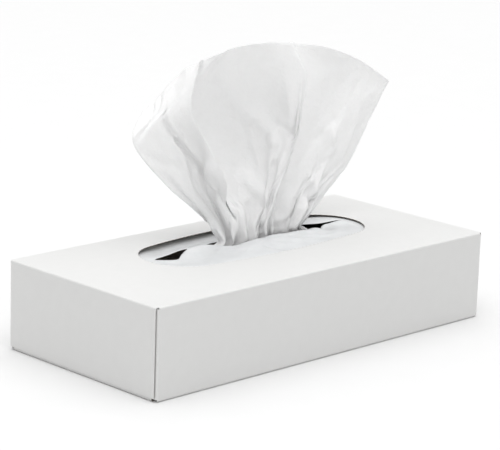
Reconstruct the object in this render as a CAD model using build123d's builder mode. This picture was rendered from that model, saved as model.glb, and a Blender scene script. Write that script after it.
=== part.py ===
"""A flat tissue box: a glued folding carton with a torn-open oval, a slit film under the oval, the pack of
folded tissues inside, and the tissue that stands up through the slit.

Millimetres. X runs along the box, -Y is its front, +Z is up, and the origin is at the middle of its base.
"""

import os
from math import pi, sin

from build123d import *

# Carton: length and width run over the outermost board, height is to the creases of the top panel
length = 230.0
width = 108.0
height = 46.0
board = 0.4  # thickness of the carton board
crease_radius = 0.85  # outside radius of a fold
base_crease_radius = 1.4  # the folds along the base are scored wider
glue_gap = 0.08  # hot-melt between two layers of board
top_rise = 4.3  # how far the pack pushes the middle of the top panel up
dome_sink = 0.02  # sets the bulge's rim into the flat board, so that the two surfaces cross

# Flaps
upper_flap_foot = 2.0  # the outermost end flap stops this far above the base
upper_flap_relief = 0.2  # and its side edges are cut in by this much
lower_flap_relief = 2.0  # the flap under it is cut in further, so that it can't be seen
lower_flap_drop = 7.0  # from the top creases down to the free edge of the flap folded up from the base
flap_corner_radius = 3.0
flap_foot_radius = 0.8
dust_flap_gap = 24.0  # between the tips of the front and back dust flaps
seam_reach = 14.0  # the strip that glues the sleeve shut
seam_glue = 0.1  # between the strip and the back panel
seam_bead = 8.0  # height of the line of glue
seam_clearance = 0.4  # the sleeve's raw edge stays this far off the ground
glue_pad_width = 9.0
glue_pad_height = 22.0
glue_pad_spacing = 56.0

# Opening: an oval of four arcs, torn out along a line of cuts and nicks
opening_length = 143.0
opening_width = 52.0
opening_side_radius = 367.0
nick_pitch = 2.8
nick_width = 0.7
nick_stub = 0.45  # torn stub left standing at each nick

# Film
film_end_margin = 16.5  # glued margin past the ends of the oval
film_side_margin = 16.0
film_thickness = 0.1
film_glue = 0.1
film_sag = 0.35  # share of the bulge that the film has lost where nothing holds it up
film_corner_radius = 6.0
slit_end_margin = 4.5  # the slit is this much shorter than the oval at each end
slit_x = 3.0  # middle of the slit
slit_y = 5.0
slit_clearance = 4.15  # between the standing tissue and each lip, at the middle of the slit

# Pack of folded tissues
pack_end_clearance = 9.5
pack_side_clearance = 3.1
pack_height = 26.0
pack_edge_radius = 2.0
pack_seat = 0.1  # between the pack and the base panel

# Standing tissue: the upper half fans out, the lower half lies on the pack
sheet_thickness = 0.3
sheet_seat = 0.8  # between the sheet and the pack
neck_x = 7.0  # middle of the gathered neck
neck_width = 56.0
fold_waves = 4
fold_depth = 2.2  # how far the folds of the sheet swing to each side
knee_width = 90.0  # where the sheet turns up under the slit
foot_inset = 9.0  # from the pack's edges in to the foot
# The fan of the sheet from left to right, measured from the middle of the neck
belly_points = [(-43, 4, 27), (-22, 0, 34), (-2, -5, 38), (20, -2, 35), (51, -3, 28)]
rim_points = [(-79, 10, 52), (-52, 5, 88), (-21, -5, 98), (19, 0, 97), (43, 3, 92), (90, -5, 71)]

# Where the layers of board lie, worked out from the sizes above
half_board = board / 2
layer_step = board + glue_gap
upper_flap_x = length / 2
lower_flap_x = upper_flap_x - layer_step
dust_flap_x = lower_flap_x - layer_step
fold_radius = crease_radius - half_board  # of a crease, at the middle of the board
base_fold_radius = base_crease_radius - half_board
panel_half_width = width / 2 - crease_radius
lower_flap_half_width = panel_half_width - upper_flap_relief - lower_flap_relief
sleeve_half_length = dust_flap_x - crease_radius
seam_y = width / 2 - board - seam_glue - half_board
film_length = opening_length + 2 * film_end_margin
film_width = opening_width + 2 * film_side_margin
slit_length = opening_length - 2 * slit_end_margin
slit_open_width = 2 * (fold_depth + sheet_thickness / 2 + slit_clearance)
pack_length = 2 * (dust_flap_x - board - pack_end_clearance)
pack_width = width - 2 * (board + pack_side_clearance)
pack_top = board + pack_seat + pack_height


def top_rise_at(x, y):
    """How far the bulged top panel stands above its creases."""
    along = 1 - abs(x / sleeve_half_length) ** 3
    across = 1 - (y / panel_half_width) ** 2
    return top_rise * along * across


def film_rise_at(x, y):
    """How far the film stands above its glued rim: it follows the board, then sags across the oval."""
    bulge = top_rise_at(x, y) / top_rise
    return top_rise * bulge * (1 - film_sag * bulge**3)


def bulged_face(half_length, half_width, crease_z, rise_at, columns=25, rows=13):
    """A rectangle of a bulged surface, over creases at the given height."""
    grid = []
    for column in range(columns):
        x = half_length * (2 * column / (columns - 1) - 1)
        line = []
        for row in range(rows):
            y = half_width * (2 * row / (rows - 1) - 1)
            line.append(Vector(x, y, crease_z + rise_at(x, y)))
        grid.append(line)
    return Face.make_surface_from_array_of_points(grid, tol=0.002, min_deg=3, max_deg=5)


# Carton
with BuildLine() as opening_line:
    # Long side arcs run smoothly into end arcs of this radius
    half_long = opening_length / 2
    half_short = opening_width / 2
    side_centre = opening_side_radius - half_short
    end_radius = (2 * opening_side_radius * half_short - half_long**2 - half_short**2) / (
        2 * (opening_side_radius - half_long)
    )
    end_centre = half_long - end_radius
    shoulder_share = opening_side_radius / (opening_side_radius - end_radius)
    shoulder_x = end_centre * shoulder_share
    shoulder_y = side_centre * shoulder_share - side_centre
    ThreePointArc((-shoulder_x, shoulder_y), (0, half_short), (shoulder_x, shoulder_y))
    ThreePointArc((shoulder_x, shoulder_y), (half_long, 0), (shoulder_x, -shoulder_y))
    ThreePointArc((shoulder_x, -shoulder_y), (0, -half_short), (-shoulder_x, -shoulder_y))
    ThreePointArc((-shoulder_x, -shoulder_y), (-half_long, 0), (-shoulder_x, shoulder_y))

opening_wire = opening_line.wires()[0]
nick_count = round(opening_wire.length / nick_pitch)

with BuildSketch() as opening_shape:
    make_face(opening_wire)
    for nick in range(nick_count):
        along = opening_wire % (nick / nick_count)
        turn = Vector(1, 0, 0).get_signed_angle(along, Vector(0, 0, 1))
        with Locations(opening_wire @ (nick / nick_count)):
            Rectangle(nick_width, 2 * nick_stub, rotation=turn, mode=Mode.SUBTRACT)

with BuildPart() as carton:
    # Sleeve: seam strip, base, front, top and back, as one strip of board
    with BuildSketch(Plane.YZ.offset(-sleeve_half_length)):
        with BuildLine() as sleeve_line:
            FilletPolyline(
                (seam_y, seam_reach),
                (seam_y, half_board),
                (-width / 2 + half_board, half_board),
                (-width / 2 + half_board, height - half_board),
                (width / 2 - half_board, height - half_board),
                (width / 2 - half_board, seam_clearance),
                radius=(base_fold_radius, base_fold_radius, fold_radius, fold_radius),
            )
        trace(sleeve_line.line, line_width=board)
        with Locations((seam_y + half_board + seam_glue / 2, seam_reach / 2)):
            Rectangle(seam_glue + half_board, seam_bead)
    extrude(amount=2 * sleeve_half_length)

    # Creases from the top panel and from the base to their end flaps
    for flap_x, crease_z, flap_z, half_span, middle_radius in (
        (upper_flap_x, height - half_board, height - 2 * crease_radius, panel_half_width, fold_radius),
        (lower_flap_x, half_board, 2 * base_crease_radius, lower_flap_half_width, base_fold_radius),
    ):
        with BuildSketch(Plane.XZ):
            with BuildLine() as end_crease_line:
                FilletPolyline(
                    (-flap_x + half_board, flap_z),
                    (-flap_x + half_board, crease_z),
                    (flap_x - half_board, crease_z),
                    (flap_x - half_board, flap_z),
                    radius=middle_radius,
                )
            trace(end_crease_line.line, line_width=board)
        extrude(amount=half_span, both=True)

    # End flaps: the one from the base is glued under the one from the top
    for end in (-1, 1):
        with BuildSketch(Plane(origin=(end * upper_flap_x, 0, 0), x_dir=(0, 1, 0), z_dir=(1, 0, 0))):
            upper_flap_length = height - crease_radius - upper_flap_foot
            with Locations((0, upper_flap_foot + upper_flap_length / 2)):
                upper_flap = Rectangle(2 * (panel_half_width - upper_flap_relief), upper_flap_length)
            fillet(upper_flap.vertices().group_by(Axis.Z)[0], flap_foot_radius)
        extrude(amount=-end * board)
        with BuildSketch(Plane(origin=(end * lower_flap_x, 0, 0), x_dir=(0, 1, 0), z_dir=(1, 0, 0))):
            lower_flap_length = height - lower_flap_drop - base_crease_radius
            with Locations((0, base_crease_radius + lower_flap_length / 2)):
                lower_flap = Rectangle(2 * lower_flap_half_width, lower_flap_length)
            fillet(lower_flap.vertices().group_by(Axis.Z)[-1], flap_corner_radius)
        extrude(amount=-end * board)

    # Front and back walls with the dust flaps that fold in first
    with BuildSketch(Plane.XY.offset(base_crease_radius)):
        for side in (-1, 1):
            wall_y = side * (width / 2 - half_board)
            tip_y = side * dust_flap_gap / 2
            with BuildLine() as dust_line:
                FilletPolyline(
                    (-dust_flap_x + half_board, tip_y),
                    (-dust_flap_x + half_board, wall_y),
                    (dust_flap_x - half_board, wall_y),
                    (dust_flap_x - half_board, tip_y),
                    radius=fold_radius,
                )
            trace(dust_line.line, line_width=board)
    extrude(amount=height - crease_radius - base_crease_radius)

    # Hot-melt pads in the gaps between the layers at both ends
    for end in (-1, 1):
        for layer_x in (lower_flap_x, dust_flap_x):
            with BuildSketch(Plane(origin=(end * layer_x, 0, height / 2), x_dir=(0, 1, 0), z_dir=(end, 0, 0))):
                with GridLocations(glue_pad_spacing, 1, 2, 1):
                    Rectangle(glue_pad_width, glue_pad_height)
            extrude(amount=glue_gap)

    # The pack pushes the top panel up between its creases
    outer_top = bulged_face(sleeve_half_length, panel_half_width, height - dome_sink, top_rise_at)
    extrude(to_extrude=outer_top, amount=half_board, dir=(0, 0, -1))
    inner_z = height - board - dome_sink
    inner_top = bulged_face(sleeve_half_length, panel_half_width, inner_z, top_rise_at)
    extrude(to_extrude=inner_top, amount=top_rise + board, dir=(0, 0, -1), mode=Mode.SUBTRACT)

    # The torn-out oval
    with BuildSketch(Plane.XY.offset(height - 3 * board)):
        add(opening_shape.sketch)
    extrude(amount=top_rise + 6 * board, mode=Mode.SUBTRACT)

carton.part.label = "carton"


# Window film, glued under the top panel, with its lengthwise slit held open by the tissue
with BuildPart() as window_film:
    film_face = bulged_face(film_length / 2, film_width / 2, inner_z - film_glue, film_rise_at)
    extrude(to_extrude=film_face, amount=film_thickness, dir=(0, 0, -1))
    with BuildSketch(Plane.XY.offset(height / 2)):
        RectangleRounded(film_length - 2 * dome_sink, film_width - 2 * dome_sink, film_corner_radius)
        with BuildLine():
            slit_start = (slit_x - slit_length / 2, slit_y)
            slit_end = (slit_x + slit_length / 2, slit_y)
            ThreePointArc(slit_start, (slit_x, slit_y + slit_open_width / 2), slit_end)
            ThreePointArc(slit_end, (slit_x, slit_y - slit_open_width / 2), slit_start)
        make_face(mode=Mode.SUBTRACT)
    extrude(amount=height, mode=Mode.INTERSECT)

window_film.part.label = "window_film"


# Pack of interfolded tissues, lying on the base panel
with BuildPart() as tissue_stack:
    with BuildSketch(Plane.XY.offset(board + pack_seat)):
        RectangleRounded(pack_length, pack_width, pack_edge_radius)
    extrude(amount=pack_height)
    fillet(tissue_stack.edges().filter_by(Axis.X), pack_edge_radius)

tissue_stack.part.label = "tissue_stack"


# Standing tissue: one thin sheet through the slit, from a foot on the pack to a fanned rim
foot_z = pack_top + sheet_seat + sheet_thickness / 2
neck_z = height + top_rise_at(neck_x, slit_y)
half_foot = pack_length / 2 - foot_inset
half_knee = knee_width / 2
half_neck = neck_width / 2
foot_y = pack_width / 2 - foot_inset
neck = Vector(neck_x, slit_y, neck_z)
foot_line = Line((neck_x - half_foot, foot_y, foot_z), (neck_x + half_foot, foot_y, foot_z))
knee_line = Line((neck_x - half_knee, slit_y, foot_z), (neck_x + half_knee, slit_y, foot_z))
neck_line = Line((neck_x - half_neck, slit_y, neck_z), (neck_x + half_neck, slit_y, neck_z))
belly_line = Spline(*[neck + Vector(*point) for point in belly_points])
rim_line = Spline(*[neck + Vector(*point) for point in rim_points])

sheet_grid = []
sheet_columns = 41
rows_below = 7
rows_above = 10
for column in range(sheet_columns):
    share = column / (sheet_columns - 1)
    below = Bezier(foot_line @ share, knee_line @ share, neck_line @ share)
    above = Spline(neck_line @ share, belly_line @ share, rim_line @ share, tangents=[below % 1, (0, 0, 1)])
    rib = [below @ (row / rows_below) for row in range(rows_below)]
    rib += [above @ (row / rows_above) for row in range(rows_above + 1)]
    swing = fold_depth * sin(2 * pi * fold_waves * share)
    lifts = [min(1, (point.Z - foot_z) / (neck_z - foot_z)) for point in rib]
    sheet_grid.append([point + Vector(0, swing * lift, 0) for point, lift in zip(rib, lifts)])

with BuildPart() as popped_tissue:
    sheet_face = Face.make_surface_from_array_of_points(sheet_grid, tol=0.05, min_deg=3, max_deg=5)
    thicken(to_thicken=sheet_face, amount=sheet_thickness / 2, both=True)

popped_tissue.part.label = "popped_tissue"


os.makedirs("parts", exist_ok=True)
for piece in (carton, window_film, tissue_stack, popped_tissue):
    export_step(piece.part, f"parts/{piece.part.label}.step")
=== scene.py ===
import math

import bmesh
import bpy
from mathutils import Matrix, Vector, noise


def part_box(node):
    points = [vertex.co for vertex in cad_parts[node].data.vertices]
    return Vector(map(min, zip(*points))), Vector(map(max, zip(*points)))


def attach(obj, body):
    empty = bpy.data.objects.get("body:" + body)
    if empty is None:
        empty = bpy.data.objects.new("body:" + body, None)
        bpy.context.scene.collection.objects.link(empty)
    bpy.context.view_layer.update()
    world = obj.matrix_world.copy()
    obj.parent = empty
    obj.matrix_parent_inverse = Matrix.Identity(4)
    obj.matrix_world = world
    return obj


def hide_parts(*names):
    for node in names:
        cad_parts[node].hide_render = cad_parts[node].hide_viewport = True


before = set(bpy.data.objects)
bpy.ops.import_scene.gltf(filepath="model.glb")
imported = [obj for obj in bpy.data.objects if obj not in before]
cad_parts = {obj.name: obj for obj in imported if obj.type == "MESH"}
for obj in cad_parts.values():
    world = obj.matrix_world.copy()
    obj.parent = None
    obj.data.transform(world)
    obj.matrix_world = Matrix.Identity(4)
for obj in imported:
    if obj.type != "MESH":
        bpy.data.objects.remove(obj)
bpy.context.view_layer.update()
scene = bpy.context.scene


# ---------------------------------------------------------------- camera
# A long lens from the front left, a little above the box and turned slightly about its own axis.
camera_azimuth = math.radians(-44.62)
camera_elevation = math.radians(14.21)
camera_roll = math.radians(1.87)
camera_place = Vector((-0.79288, -0.79979, 0.34183))

camera_back = Vector((
    math.sin(camera_azimuth) * math.cos(camera_elevation),
    -math.cos(camera_azimuth) * math.cos(camera_elevation),
    math.sin(camera_elevation),
))
camera_right = Vector((0, 0, 1)).cross(camera_back).normalized()
camera_turn = Matrix((camera_right, camera_back.cross(camera_right), camera_back)).transposed()
camera_turn = camera_turn @ Matrix.Rotation(camera_roll, 3, "Z")
camera_data = bpy.data.cameras.new("camera")
camera_data.lens = 165.0
camera_data.sensor_width = 36.0
camera_data.clip_end = 50
camera = bpy.data.objects.new("camera", camera_data)
camera.matrix_world = Matrix.Translation(camera_place) @ camera_turn.to_4x4()
scene.collection.objects.link(camera)
scene.camera = camera
scene.view_settings.view_transform = "Standard"


# ---------------------------------------------------------------- floor and light
# A wide flat sheet of matt white background paper, under a white dome and one large softbox high up at the
# front left.
def linear(hex_colour):
    """An sRGB hex colour as linear red, green, blue and alpha."""
    shares = [int(hex_colour[i:i + 2], 16) / 255 for i in (1, 3, 5)]
    return [s / 12.92 if s <= 0.04045 else ((s + 0.055) / 1.055) ** 2.4 for s in shares] + [1.0]


def add_node(tree, kind, inputs=None, **settings):
    """Adds a node to a material, with its settings, and its inputs set or linked by name or number."""
    node = tree.nodes.new(kind)
    for name, value in settings.items():
        setattr(node, name, value)
    for key, value in (inputs or {}).items():
        if isinstance(value, bpy.types.NodeSocket):
            tree.links.new(value, node.inputs[key])
        else:
            node.inputs[key].default_value = value
    return node


def new_material(name):
    """An empty node material and its output node."""
    material = bpy.data.materials.new(name)
    material.use_nodes = True
    tree = material.node_tree
    tree.nodes.clear()
    return material, tree, tree.nodes.new("ShaderNodeOutputMaterial")


def background_paper():
    """Uncoated background paper: even and matt, with a faint cloudy texture 20 mm across."""
    material, tree, output = new_material("white_background_paper")
    place = add_node(tree, "ShaderNodeTexCoord").outputs["Object"]
    cloud = add_node(tree, "ShaderNodeTexNoise", {"Vector": place, "Scale": 1 / 0.02, "Detail": 2.0})
    white = add_node(tree, "ShaderNodeMix", {
        "Factor": cloud.outputs["Fac"], 6: linear("#dcdcdc"), 7: linear("#dedede")}, data_type="RGBA")
    shader = add_node(tree, "ShaderNodeBsdfPrincipled", {
        "Base Color": white.outputs[2], "Roughness": 0.8, "IOR": 1.2})
    tree.links.new(shader.outputs["BSDF"], output.inputs["Surface"])
    return material


floor_size = 12.0
floor_mesh = bpy.data.meshes.new("floor")
shape = bmesh.new()
bmesh.ops.create_grid(shape, x_segments=2, y_segments=2, size=floor_size / 2)
shape.to_mesh(floor_mesh)
shape.free()
floor_mesh.materials.append(background_paper())
floor = bpy.data.objects.new("floor", floor_mesh)
scene.collection.objects.link(floor)

# The dome's light grows with the square of how far up a direction points, and is brightest straight above
horizon_light, zenith_light = 0.45, 2.1
sky = bpy.data.worlds.new("studio")
sky.use_nodes = True
towards = add_node(sky.node_tree, "ShaderNodeTexCoord").outputs["Generated"]
upward = add_node(sky.node_tree, "ShaderNodeSeparateXYZ", {0: towards}).outputs["Z"]
squared = add_node(sky.node_tree, "ShaderNodeMath", {0: upward, 1: upward}, operation="MULTIPLY")
dome_light = add_node(sky.node_tree, "ShaderNodeMath", {
    0: squared.outputs[0], 1: zenith_light - horizon_light, 2: horizon_light}, operation="MULTIPLY_ADD")
background = sky.node_tree.nodes["Background"]
background.inputs["Color"].default_value = linear("#ffffff")
sky.node_tree.links.new(dome_light.outputs[0], background.inputs["Strength"])
scene.world = sky


def add_softbox(name, place, target, width, height, watts):
    """A rectangular soft light that points at a target."""
    light = bpy.data.lights.new(name, "AREA")
    light.shape = "RECTANGLE"
    light.size = width
    light.size_y = height
    light.energy = watts
    holder = bpy.data.objects.new(name, light)
    holder.location = place
    holder.rotation_euler = (Vector(target) - Vector(place)).to_track_quat("-Z", "Y").to_euler()
    scene.collection.objects.link(holder)


add_softbox("key_softbox", place=(-1.5, -1.8, 3.9), target=(0, 0, 0.08), width=3.0, height=2.4, watts=38.0)


# ---------------------------------------------------------------- carton
# One sheet of folding boxboard, clay-coated white on the outside and bare recycled grey-brown inside.
# It is cut, creased, folded and glued, so its raw edges show the grey middle of the board.
def boxboard():
    """White-lined chipboard: a satin coat outside, and dull fibrous grey-brown inside and on cut edges."""
    material, tree, output = new_material("white_lined_chipboard")
    place = add_node(tree, "ShaderNodeTexCoord").outputs["Object"]
    normal = add_node(tree, "ShaderNodeNewGeometry").outputs["Normal"]
    # A face is coated if it faces away from the middle of the box
    low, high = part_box("carton")
    middle = (0.0, 0.0, (low[2] + high[2]) / 2)
    from_middle = add_node(tree, "ShaderNodeVectorMath", {0: place, 1: middle}, operation="SUBTRACT")
    outward = add_node(tree, "ShaderNodeVectorMath", {
        0: normal, 1: from_middle.outputs[0]}, operation="DOT_PRODUCT")
    faces_out = add_node(tree, "ShaderNodeMath", {
        0: outward.outputs["Value"], 1: 0.0}, operation="GREATER_THAN").outputs[0]

    # But the end flaps' cut sides are bare: near the ends of the box, facing along Y, and not on the front or
    # back wall
    end_depth, wall_depth = 0.0016, 0.0011
    spot = add_node(tree, "ShaderNodeSeparateXYZ", {0: place})
    face = add_node(tree, "ShaderNodeSeparateXYZ", {0: normal})
    along = add_node(tree, "ShaderNodeMath", {0: spot.outputs["X"]}, operation="ABSOLUTE").outputs[0]
    across = add_node(tree, "ShaderNodeMath", {0: spot.outputs["Y"]}, operation="ABSOLUTE").outputs[0]
    sideways = add_node(tree, "ShaderNodeMath", {0: face.outputs["Y"]}, operation="ABSOLUTE").outputs[0]
    at_end = add_node(tree, "ShaderNodeMath", {
        0: along, 1: high[0] - end_depth}, operation="GREATER_THAN").outputs[0]
    inside = add_node(tree, "ShaderNodeMath", {
        0: across, 1: high[1] - wall_depth}, operation="LESS_THAN").outputs[0]
    cut = add_node(tree, "ShaderNodeMath", {0: sideways, 1: 0.9}, operation="GREATER_THAN").outputs[0]
    cut = add_node(tree, "ShaderNodeMath", {0: cut, 1: at_end}, operation="MULTIPLY").outputs[0]
    cut = add_node(tree, "ShaderNodeMath", {0: cut, 1: inside}, operation="MULTIPLY").outputs[0]
    coated = add_node(tree, "ShaderNodeMath", {
        0: faces_out, 1: cut}, operation="SUBTRACT", use_clamp=True).outputs[0]

    # Coat: faint clouding of the paper under it, 6 mm across, and a fine 0.4 mm grain
    cloud = add_node(tree, "ShaderNodeTexNoise", {"Vector": place, "Scale": 1 / 0.006, "Detail": 3.0})
    grain = add_node(tree, "ShaderNodeTexNoise", {"Vector": place, "Scale": 1 / 0.0004, "Detail": 2.0})
    white = add_node(tree, "ShaderNodeMix", {
        "Factor": cloud.outputs["Fac"], 6: linear("#d1d1d0"), 7: linear("#d5d5d4")}, data_type="RGBA")
    # Bare board: mottled grey-brown, in fibre clumps 0.8 mm across
    fibre = add_node(tree, "ShaderNodeTexNoise", {"Vector": place, "Scale": 1 / 0.0008, "Detail": 5.0})
    bare = add_node(tree, "ShaderNodeMix", {
        "Factor": fibre.outputs["Fac"], 6: linear("#776e66"), 7: linear("#a49b91")}, data_type="RGBA")
    colour = add_node(tree, "ShaderNodeMix", {
        "Factor": coated, 6: bare.outputs[2], 7: white.outputs[2]}, data_type="RGBA")
    rough = add_node(tree, "ShaderNodeMapRange", {"Value": coated, "To Min": 0.9, "To Max": 0.46})
    height = add_node(tree, "ShaderNodeMix", {
        "Factor": coated, 2: fibre.outputs["Fac"], 3: grain.outputs["Fac"]}, data_type="FLOAT")
    depth = add_node(tree, "ShaderNodeMapRange", {"Value": coated, "To Min": 0.00006, "To Max": 0.000004})
    bump = add_node(tree, "ShaderNodeBump", {
        "Height": height.outputs[0], "Distance": depth.outputs["Result"]})
    shader = add_node(tree, "ShaderNodeBsdfPrincipled", {
        "Base Color": colour.outputs[2], "Roughness": rough.outputs["Result"], "IOR": 1.48,
        "Normal": bump.outputs["Normal"]})
    tree.links.new(shader.outputs["BSDF"], output.inputs["Surface"])
    return material


def dress(node, material):
    """Gives a CAD node a new material in every slot."""
    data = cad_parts[node].data
    for index in range(len(data.materials)):
        data.materials[index] = material


dress("carton", boxboard())


# ---------------------------------------------------------------- pack of tissues
# The interfolded tissues still in the box, about 26 mm high. They are cut together at both ends and folded
# over along both long sides, so the block shows fine uneven layers all round. It lies loose on the carton's
# base.
pack_low, pack_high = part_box("tissue_stack")
pack_inset = 0.0004  # of the block inside the CAD pack, on every side
pack_corner_radius = 0.002
pack_layers = 24
# How far a whole layer and the waves along it go in, and how much deeper the gaps between layers are
layer_shift, layer_wave, layer_gap = 0.0004, 0.0003, 0.0005
pack_middle = [(a + b) / 2 for a, b in zip(pack_low, pack_high)]
pack_sides = [b - a - 2 * pack_inset for a, b in zip(pack_low, pack_high)]

shape = bmesh.new()
bmesh.ops.create_cube(shape, size=1.0)
bmesh.ops.scale(shape, vec=pack_sides, verts=shape.verts)
upright = [e for e in shape.edges if abs(e.verts[0].co.z - e.verts[1].co.z) > 0.001]
bmesh.ops.bevel(
    shape, geom=upright, offset=pack_corner_radius, segments=3, affect="EDGES", profile=0.5, material=-1)
along = [e for e in shape.edges if abs(e.verts[0].co.x - e.verts[1].co.x) > 0.1]
bmesh.ops.subdivide_edges(shape, edges=along, cuts=29, use_grid_fill=True)
across = [e for e in shape.edges if abs(e.verts[0].co.y - e.verts[1].co.y) > 0.05]
bmesh.ops.subdivide_edges(shape, edges=across, cuts=13, use_grid_fill=True)
upright = [e for e in shape.edges if abs(e.verts[0].co.z - e.verts[1].co.z) > 0.001]
bmesh.ops.subdivide_edges(shape, edges=upright, cuts=2 * pack_layers - 1, use_grid_fill=True)
layer_height = pack_sides[2] / pack_layers
for point in shape.verts:
    layer = (point.co.z + pack_sides[2] / 2) / layer_height
    # Each layer is pushed in by its own amount, and the gap between two layers is deeper
    own = noise.noise(Vector((round(layer) * 3.7, 0.5, 0.5))) * layer_shift
    wave = noise.noise(Vector((point.co.x / 0.03, point.co.y / 0.03, round(layer) * 0.9))) * layer_wave
    gap = layer_gap if abs(layer - round(layer)) < 0.25 else 0.0
    inward = min(0.0, own + wave - 0.0001) - gap
    point.co.x *= 1 + inward * 2 / pack_sides[0]
    point.co.y *= 1 + inward * 2 / pack_sides[1]
    # The top sheet is slightly wavy
    if layer > pack_layers - 0.25:
        point.co.z += noise.noise(Vector((point.co.x / 0.04, point.co.y / 0.02, 0.2))) * 0.0005 - 0.0003
bmesh.ops.translate(shape, vec=pack_middle, verts=shape.verts)
pack_mesh = bpy.data.meshes.new("tissue_pack")
shape.to_mesh(pack_mesh)
shape.free()


def pack_paper():
    """The same creped tissue, seen as a cut and folded block: matt, with streaks along the layers."""
    material, tree, output = new_material("stacked_tissue_paper")
    place = add_node(tree, "ShaderNodeTexCoord").outputs["Object"]
    # The streaks are 0.25 mm high and 10 mm long, and the paper's grain is 0.6 mm
    stretched = add_node(tree, "ShaderNodeVectorMath", {0: place, 1: (100, 100, 4000)}, operation="MULTIPLY")
    streaks = add_node(tree, "ShaderNodeTexNoise", {
        "Vector": stretched.outputs[0], "Scale": 1.0, "Detail": 3.0})
    grain = add_node(tree, "ShaderNodeTexNoise", {"Vector": place, "Scale": 1 / 0.0006, "Detail": 3.0})
    relief = add_node(tree, "ShaderNodeMath", {
        0: streaks.outputs["Fac"], 1: grain.outputs["Fac"]}, operation="ADD")
    bump = add_node(tree, "ShaderNodeBump", {"Height": relief.outputs[0], "Distance": 0.00012})
    white = add_node(tree, "ShaderNodeMix", {
        "Factor": streaks.outputs["Fac"], 6: linear("#e6e6e4"), 7: linear("#f7f7f5")}, data_type="RGBA")
    shader = add_node(tree, "ShaderNodeBsdfPrincipled", {
        "Base Color": white.outputs[2], "Roughness": 0.95, "IOR": 1.3, "Normal": bump.outputs["Normal"]})
    tree.links.new(shader.outputs["BSDF"], output.inputs["Surface"])
    return material


pack_mesh.materials.append(pack_paper())
pack = bpy.data.objects.new("tissue_pack", pack_mesh)
scene.collection.objects.link(pack)
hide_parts("tissue_stack")
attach(pack, "root")


# ---------------------------------------------------------------- window film
# Thin hazy polyethylene glued to the board round the torn opening, with one long slit. The tissues have
# pulled its front half up into a tent and dragged part of it back over the slit, and its back half hangs
# slack.
film_length, film_width = 0.176, 0.084
# Where the slit ends and how far behind the middle of the box it lies, and the top panel between its creases,
# in mm
slit_left, slit_right, slit_back = -64, 70, 5
panel_half_length, panel_half_width = 114, 53
# The film's height at its glued rim, how far the panel bulges, and the share of that lost by sagging
rim_height, panel_bulge, film_sag = 45.35, 4.3, 0.35


def ease(low, high, value):
    """A smooth step from 0 at low to 1 at high."""
    t = min(1.0, max(0.0, (value - low) / (high - low)))
    return t * t * (3 - 2 * t)


def flat_sheet(columns, rows):
    """A flat grid 1 x 1, with a UV map that runs across and up the sheet."""
    sheet = bmesh.new()
    sheet.loops.layers.uv.new("flat")
    bmesh.ops.create_grid(sheet, x_segments=columns, y_segments=rows, size=0.5, calc_uvs=True)
    return sheet


def film_place(x, y, front):
    """Where a point of the flat film lies in the carton, in mm, in front of the slit or behind it."""
    dome = max(0, (1 - abs(x / panel_half_length) ** 3) * (1 - (y / panel_half_width) ** 2))
    z = rim_height + panel_bulge * dome * (1 - film_sag * dome ** 3)
    # Shares from 0 to 1: in from the opening's edge, along the slit, and along the neck that the tissue fills
    inside = ease(0, 0.55, 1 - math.hypot(abs(x / 74) ** 1.4, y / 30))
    slit = ease(slit_left - 2, slit_left + 22, x) * (1 - ease(slit_right - 22, slit_right + 2, x))
    neck = ease(-27, -19, x) * (1 - ease(40, 56, x))
    if front:
        near_slit = ease(-26, 5, y)
        # The tent: a plane that rises to the neck, and falls away on its right along a slanting crease
        crease = 34 - (4 - y) * 0.5
        tent = ease(-46, -4, x) * (1 - ease(crease, crease + 20, x)) * ease(-30, 3, y)
        z += 3.0 * tent - 1.8 * inside * (1 - tent) * near_slit
        # A soft hill right of the crease
        z += 1.6 * math.exp(-((x - 47) / 9) ** 2 - ((y + 9) / 7) ** 2) * inside
        # Folds that run out from the neck's left end to the front
        angle = math.atan2(y - 6, x + 8)
        reach = math.hypot(x + 8, y - 6)
        fold = 0.3 - abs(noise.noise(Vector((angle * 4.0, reach / 60, 1.7))))
        z += 1.8 * fold * inside * ease(4, 16, reach)
        z += 1.0 * (0.3 - abs(noise.noise(Vector((x / 11, y / 14, 4.2))))) * inside
        # A pinched wrinkle in the tent
        z -= 2.4 * math.exp(-((x + 3 + (y + 14) * 0.5) / 2.6) ** 2 - ((y + 16) / 7) ** 2)
        # The slit's lip is drawn forward at the neck and near its left end, and backward between them
        pull = -10.5 * neck - 5.5 * math.exp(-((x + 54) / 6) ** 2)
        pull += 5.0 * math.exp(-((x + 34) / 9) ** 2)
        y += pull * ease(-20, 5, y)
        z += 1.0 * math.exp(-((x + 36) / 9) ** 2) * near_slit
    else:
        slack = math.sin(math.pi * ease(2, 36, y)) * (1 - ease(40, 75, abs(x)))
        z -= 2.6 * slack * (1 - 0.5 * ease(10, 60, x))
        z += 0.4 * noise.noise(Vector((x / 14, y / 6, 7.3))) * inside
        pull = 4.5 * neck + 4.0 * ease(-64, -36, x) * (1 - neck) * (x < 0) + 1.2 * slit
        y += pull * (1 - ease(5, 24, y))
    return Vector((x, y, z))


shape = flat_sheet(88, 84)
bmesh.ops.scale(shape, vec=(film_length * 1000, film_width * 1000, 1), verts=shape.verts)
slit_edges = [e for e in shape.edges if all(
    abs(v.co.y - slit_back) < 0.1 and slit_left - 0.1 < v.co.x < slit_right + 0.1 for v in e.verts)]
bmesh.ops.split_edges(shape, edges=slit_edges)
in_front = [v.link_faces[0].calc_center_median().y < slit_back for v in shape.verts]
for point, front in zip(shape.verts, in_front):
    point.co = film_place(point.co.x, point.co.y, front) * 0.001
for face in shape.faces:
    face.smooth = True
film_mesh = bpy.data.meshes.new("window_film")
shape.to_mesh(film_mesh)
shape.free()


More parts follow.
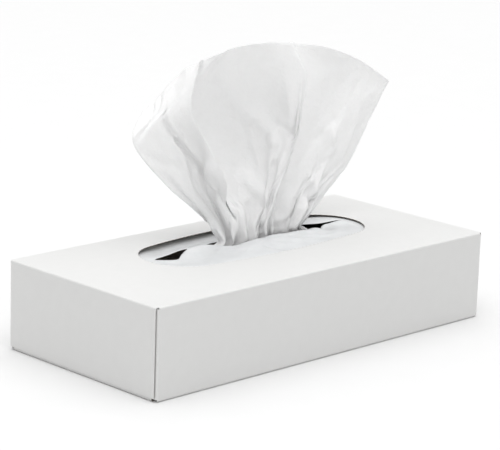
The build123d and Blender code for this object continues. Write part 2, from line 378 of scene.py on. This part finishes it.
def hazy_film():
    """Blown polyethylene film: milky with a soft gloss. It lets light through but shows little behind it."""
    material, tree, output = new_material("polyethylene_film")
    place = add_node(tree, "ShaderNodeTexCoord").outputs["Object"]
    # Haze in clouds 5 mm across, and fine drawn lines 0.5 mm apart along the film
    haze = add_node(tree, "ShaderNodeTexNoise", {"Vector": place, "Scale": 1 / 0.005, "Detail": 3.0})
    drawn = add_node(tree, "ShaderNodeVectorMath", {0: place, 1: (60, 2000, 60)}, operation="MULTIPLY")
    lines = add_node(tree, "ShaderNodeTexNoise", {"Vector": drawn.outputs[0], "Scale": 1.0, "Detail": 2.0})
    tint = add_node(tree, "ShaderNodeMix", {
        "Factor": haze.outputs["Fac"], 6: linear("#e2e4e5"), 7: linear("#eff0f1")}, data_type="RGBA")
    rough = add_node(tree, "ShaderNodeMapRange", {
        "Value": haze.outputs["Fac"], "To Min": 0.26, "To Max": 0.42})
    bump = add_node(tree, "ShaderNodeBump", {"Height": lines.outputs["Fac"], "Distance": 0.00003})
    skin = add_node(tree, "ShaderNodeBsdfPrincipled", {
        "Base Color": tint.outputs[2], "Roughness": rough.outputs["Result"], "IOR": 1.51,
        "Normal": bump.outputs["Normal"]})
    glow = add_node(tree, "ShaderNodeBsdfTranslucent", {"Color": tint.outputs[2]})
    clear = add_node(tree, "ShaderNodeBsdfTransparent", {"Color": linear("#ffffff")})
    milky = add_node(tree, "ShaderNodeMixShader", {0: 0.2, 1: skin.outputs["BSDF"], 2: glow.outputs["BSDF"]})
    thin = add_node(tree, "ShaderNodeMixShader", {
        0: 0.03, 1: milky.outputs["Shader"], 2: clear.outputs["BSDF"]})
    tree.links.new(thin.outputs["Shader"], output.inputs["Surface"])
    return material


film_mesh.materials.append(hazy_film())
film = bpy.data.objects.new("slit_film", film_mesh)
scene.collection.objects.link(film)
film_wall = film.modifiers.new("film_thickness", "SOLIDIFY")
film_wall.thickness = 0.00006
film_wall.offset = 0.0
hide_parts("window_film")
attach(film, "root")


# ---------------------------------------------------------------- standing tissue
# One facial tissue, two plies of creped and finely embossed paper, cut 210 x 200 mm. Its upper half has
# been pulled up through the slit, which gathers it, and opens out above in loose folds. Its lower half lies
# on the pack.
tissue_width, tissue_length = 0.210, 0.200
sheet_width, half_sheet = tissue_width * 1000, tissue_length * 1000 / 2  # in mm, as the next sizes are
lying_width = 184

# The design of the upper half: ribs from the left edge to the right, each the distance across the flat sheet
# and then where the rib stands, at these heights up the flat sheet from the slit. The places began as a
# measuring helper's output, rounded to whole mm. Some were moved, and most of those at 82 were filled in one
# by one
rib_heights = (0, 12, 35, 65, 82, 100)
ribs = (
    (0, ((-19, 4, 50), (-29, 8, 63), (-51, 11, 82), (-71, 15, 106), (-60, 22, 116), (-42, 31, 121))),
    (30, ((-18, 2, 50), (-21, 5, 66), (-35, 9, 90), (-53, 8, 115), (-48, 11, 128), (-39, 16, 137))),
    (50, ((-14, -1, 50), (-15, -6, 70), (-33, -6, 95), (-46, -2, 120), (-44, 0, 133), (-36, 5, 144))),
    (60, ((-10, 2, 50), (-8, 6, 68), (-26, 9, 92), (-37, 14, 117), (-36, 11, 131), (-30, 10, 143))),
    (78, ((0, 3, 50), (6, 9, 63), (6, 17, 86), (-6, 16, 115), (-15, 5, 134), (-24, -6, 151))),
    (98, ((3, 0, 50), (9, -1, 63), (17, 3, 86), (16, 1, 117), (9, -4, 135), (-2, -8, 152))),
    (108, ((6, -1, 50), (12, -3, 63), (18, -5, 86), (19, -7, 115), (18, -8, 133), (12, -6, 150))),
    (125, ((9, -1, 50), (15, -5, 66), (21, -6, 88), (24, -8, 114), (27, -8, 131), (20, -1, 149))),
    (147, ((15, 3, 50), (22, 4, 63), (26, 5, 86), (28, 5, 112), (30, 6, 129), (32, 8, 146))),
    (157, ((25, 4, 50), (31, 5, 63), (41, 8, 83), (53, 10, 108), (53, 8, 125), (49, 3, 143))),
    (177, ((29, 3, 50), (37, 2, 61), (55, 4, 83), (68, 5, 107), (72, 5, 121), (72, 2, 135))),
    (210, ((38, 4, 50), (50, 5, 58), (70, 4, 77), (82, 0, 101), (87, -2, 112), (91, -5, 122))),
)
sharp_folds = (50, 60, 125, 147)


def smooth_through(knots, points, at):
    """The point at a distance along the smooth curve that passes through the points at their knots."""
    last = len(knots) - 1
    first = max(i for i in range(last) if i == 0 or knots[i] <= at)
    span = knots[first + 1] - knots[first]
    slopes = []
    for i in (first, first + 1):
        before, after = max(i - 1, 0), min(i + 1, last)
        slopes.append((points[after] - points[before]) * (span / (knots[after] - knots[before])))
    t = (at - knots[first]) / span
    start, end = points[first], points[first + 1]
    return (start * (1 + 2 * t) * (1 - t) ** 2 + slopes[0] * t * (1 - t) ** 2
            + end * (3 - 2 * t) * t ** 2 - slopes[1] * (1 - t) * t ** 2)


def standing_place(across, up):
    """Where a point of the tissue's upper half stands, from its place across and up the sheet."""
    # The curve across the sheet breaks at each sharp fold
    low = max((0,) + tuple(f for f in sharp_folds if f <= across))
    high = min((sheet_width,) + tuple(f for f in sharp_folds if f > across))
    panel = [(u, points) for u, points in ribs if low <= u <= high]
    knots = [u for u, points in panel]
    row = [smooth_through(rib_heights, [Vector(p) for p in points], up) for u, points in panel]
    return smooth_through(knots, row, across)


def lying_place(across, down):
    """Where a point of its lower half lies: down through the slit, back over the pack and forward again."""
    neck = standing_place(across, 0)
    spread = min(down / 60, 1) ** 0.8
    x = neck.x * (1 - spread) + (7 + (across / sheet_width - 0.5) * lying_width) * spread
    knots = (0, 10, 22, 34, 55, 57, 59, 80, 100)
    path = (
        (neck.y, 50), (5 + neck.y * 0.3, 41), (7, 29.5), (14, 27.3), (36, 27.2), (38.0, 27.8), (36.6, 28.5),
        (17, 28.8), (-3, 29.0),
    )
    yz = smooth_through(knots, [Vector(p) for p in path], down)
    return Vector((x, yz.x, yz.y + math.sin(across * 0.21) * 0.3 * min(down / 22, 1)))


# The cloth simulation runs at ten times life size, where its settings behave as they do on large cloth
sim_size = 10
sim_scale = sim_size / 1000  # from mm to that size
sim_steps = 18
tissue_mesh = bpy.data.meshes.new("standing_tissue")
shape = flat_sheet(105, 100)
flat_places = [Vector(((v.co.x + 0.5) * sheet_width, v.co.y * 2 * half_sheet, 0)) for v in shape.verts]
# Pleats at the slit, with smaller ones on them, in mm of sheet each. They fade out by half way up
pleat, small_pleat, side_pleat = 23, 9.5, 31
for point, flat in zip(shape.verts, flat_places):
    across, up = flat.x, flat.y
    point.co = standing_place(across, up) if up >= 0 else lying_place(across, -up)
    uneven = noise.noise(Vector((across / pleat, up / 60, 3.1)))
    fade = max(0, 1 - up / (34 + 16 * uneven)) ** 1.5 if up >= 0 else max(0, 1 + up / 30)
    swing = 2.7 * math.sin(2 * math.pi * across / pleat + 2.6 * uneven)
    swing += 1.1 * math.sin(2 * math.pi * across / small_pleat)
    swing *= 1 + 0.6 * ease(4, 14, up)
    side = math.cos(2 * math.pi * across / side_pleat + 1.7 * uneven)
    point.co += Vector((2.0 * side, swing, 0)) * fade
bmesh.ops.scale(shape, vec=(sim_scale,) * 3, verts=shape.verts)
shape.to_mesh(tissue_mesh)
shape.free()
tissue = bpy.data.objects.new("standing_tissue", tissue_mesh)
scene.collection.objects.link(tissue)

# The cloth settles between its flat cut and this design. Its lower half is held still, and its upper half is
# drawn to the design, most strongly along the rim, the two side edges and two of the folds
tissue.shape_key_add(name="designed")
cut_shape = tissue.shape_key_add(name="cut_flat")
held = tissue.vertex_groups.new(name="held")
for index, flat in enumerate(flat_places):
    cut_shape.data[index].co = flat * sim_scale
    at_rim = max(0, 1 - (half_sheet - flat.y) / 12)
    at_fold = max(0, 1 - abs(flat.x - 125) / 8, 1 - abs(flat.x - 50) / 6) * ease(30, 50, flat.y)
    at_side = max(0, 1 - min(flat.x, sheet_width - flat.x) / 10)
    weight = 1.0 if flat.y <= 1 else min(0.9, 0.12 + 0.5 * max(at_rim, at_fold, at_side))
    held.add([index], weight, "REPLACE")
cloth = tissue.modifiers.new("cloth", "CLOTH")
cloth.settings.rest_shape_key = cut_shape
cloth.settings.vertex_group_mass = "held"
cloth.settings.pin_stiffness = 2.0
cloth.settings.quality = 8
cloth.settings.mass = 0.15
cloth.settings.tension_stiffness = 15
cloth.settings.compression_stiffness = 15
cloth.settings.shear_stiffness = 12
cloth.settings.bending_stiffness = 1.5
cloth.settings.tension_damping = 10
cloth.settings.compression_damping = 10
cloth.settings.air_damping = 6
cloth.settings.effector_weights.gravity = 0
cloth.collision_settings.use_self_collision = True
cloth.collision_settings.self_distance_min = 0.006
cloth.collision_settings.collision_quality = 3
cloth.point_cache.frame_start = 1
cloth.point_cache.frame_end = sim_steps
for step in range(1, sim_steps + 1):
    scene.frame_set(step)

finer = tissue.modifiers.new("finer", "SUBSURF")
finer.levels = finer.render_levels = 1
finer.uv_smooth = "NONE"
settled = bpy.data.meshes.new_from_object(tissue.evaluated_get(bpy.context.evaluated_depsgraph_get()))
tissue.modifiers.clear()
tissue.shape_key_clear()
tissue.data = settled
scene.frame_set(1)

# Creases and dents in the paper: from and to, each across and up the sheet, then the width and the height,
# all in mm
creases = (
    # Left wing: a long wrinkle with a ridge beside it, and small ones near the corner
    ((24, 74), (30, 52), 2.4, -2.0), ((30, 52), (39, 22), 2.4, -2.4), ((28, 70), (42, 24), 2.2, 1.4),
    ((9, 86), (13, 73), 1.4, -1.1), ((15, 89), (18, 75), 1.4, -1.0), ((6, 52), (14, 42), 4.0, -1.0),
    # Middle panel: a soft slanting ridge, a fine upright crease, and a hollow beside the fold
    ((74, 82), (86, 62), 4.0, 1.9), ((86, 62), (97, 46), 3.0, 1.6), ((84, 60), (88, 14), 1.2, 0.9),
    ((96, 56), (112, 50), 2.4, -1.4), ((98, 34), (105, 16), 3.0, -1.6), ((92, 22), (100, 8), 2.4, 1.5),
    # The pouch at its lower left
    ((46, 32), (53, 8), 5.0, 3.4), ((54, 34), (60, 12), 2.5, -2.0),
    # Right wing: a dented patch at mid height, and crumples near the slit
    ((168, 54), (179, 40), 3.0, 1.6), ((162, 50), (172, 30), 4.0, -2.0), ((166, 27), (187, 18), 1.9, 1.4),
    ((170, 20), (190, 12), 1.9, -1.5), ((178, 31), (183, 12), 1.6, 1.2), ((187, 76), (196, 40), 3.0, 0.7),
)


def crease_height(across, up):
    """How far the creases and the fine crumpling make the paper stand out at a point of the flat sheet."""
    spot = Vector((across, up))
    height = 0.0
    for start, end, width, stand in creases:
        start, end = Vector(start), Vector(end)
        run = end - start
        share = min(1.0, max(0.0, (spot - start).dot(run) / run.length_squared))
        height += stand * math.exp(-((spot - start - run * share).length / width) ** 2)
    # Crumples 20 mm and 8 mm across, with creased edges
    for size, deep, seed in ((20, 1.1, 5.3), (8, 0.5, 9.1)):
        height += deep * (0.25 - abs(noise.noise(Vector((across / size, up / (size * 1.6), seed)))))
    return height


shape = bmesh.new()
shape.from_mesh(tissue.data)
bmesh.ops.scale(shape, vec=(1 / sim_size,) * 3, verts=shape.verts)
shape.normal_update()
flat_map = shape.loops.layers.uv["flat"]
moves = []
for point in shape.verts:
    u, v = point.link_loops[0][flat_map].uv
    across, up = u * sheet_width, v * 2 * half_sheet - half_sheet
    moves.append(point.normal * crease_height(across, up) * ease(-4, 6, up) * 0.001)
for point, move in zip(shape.verts, moves):
    point.co += move
for face in shape.faces:
    face.smooth = True
shape.to_mesh(tissue.data)
shape.free()


def tissue_paper():
    """Creped, embossed tissue: matt soft white, its fibres let light through, with a fine sandy grain."""
    material, tree, output = new_material("embossed_tissue_paper")
    flat = add_node(tree, "ShaderNodeUVMap", uv_map="flat").outputs["UV"]
    # The UV map is 1 x 1, so it is stretched to the sheet's size in metres
    place = add_node(tree, "ShaderNodeVectorMath", {
        0: flat, 1: (tissue_width, tissue_length, 1.0)}, operation="MULTIPLY").outputs[0]
    # Embossed dimples about 1.1 mm apart, and the creped paper's grain 0.6 mm across
    dimple = add_node(tree, "ShaderNodeTexVoronoi", {
        "Vector": place, "Scale": 1 / 0.0011, "Randomness": 0.8}, feature="SMOOTH_F1")
    crepe = add_node(tree, "ShaderNodeTexNoise", {"Vector": place, "Scale": 1 / 0.0006, "Detail": 3.0})
    relief = add_node(tree, "ShaderNodeMath", {
        0: dimple.outputs["Distance"], 1: crepe.outputs["Fac"]}, operation="ADD")
    bump = add_node(tree, "ShaderNodeBump", {"Height": relief.outputs[0], "Distance": 0.0002})
    cloud = add_node(tree, "ShaderNodeTexNoise", {"Vector": place, "Scale": 1 / 0.004, "Detail": 4.0})
    white = add_node(tree, "ShaderNodeMix", {
        "Factor": cloud.outputs["Fac"], 6: linear("#f7f7f7"), 7: linear("#fcfcfc")}, data_type="RGBA")
    sheet = add_node(tree, "ShaderNodeBsdfPrincipled", {
        "Base Color": white.outputs[2], "Roughness": 0.95, "IOR": 1.3, "Normal": bump.outputs["Normal"]})
    glow = add_node(tree, "ShaderNodeBsdfTranslucent", {
        "Color": white.outputs[2], "Normal": bump.outputs["Normal"]})
    # Light that falls on its back shows through
    through = add_node(tree, "ShaderNodeMixShader", {
        0: 0.3, 1: sheet.outputs["BSDF"], 2: glow.outputs["BSDF"]})
    tree.links.new(through.outputs["Shader"], output.inputs["Surface"])
    return material


tissue.data.materials.clear()
tissue.data.materials.append(tissue_paper())
ply = tissue.modifiers.new("two_plies", "SOLIDIFY")
ply.thickness = 0.00018
ply.offset = 0.0
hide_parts("popped_tissue")
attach(tissue, "root")
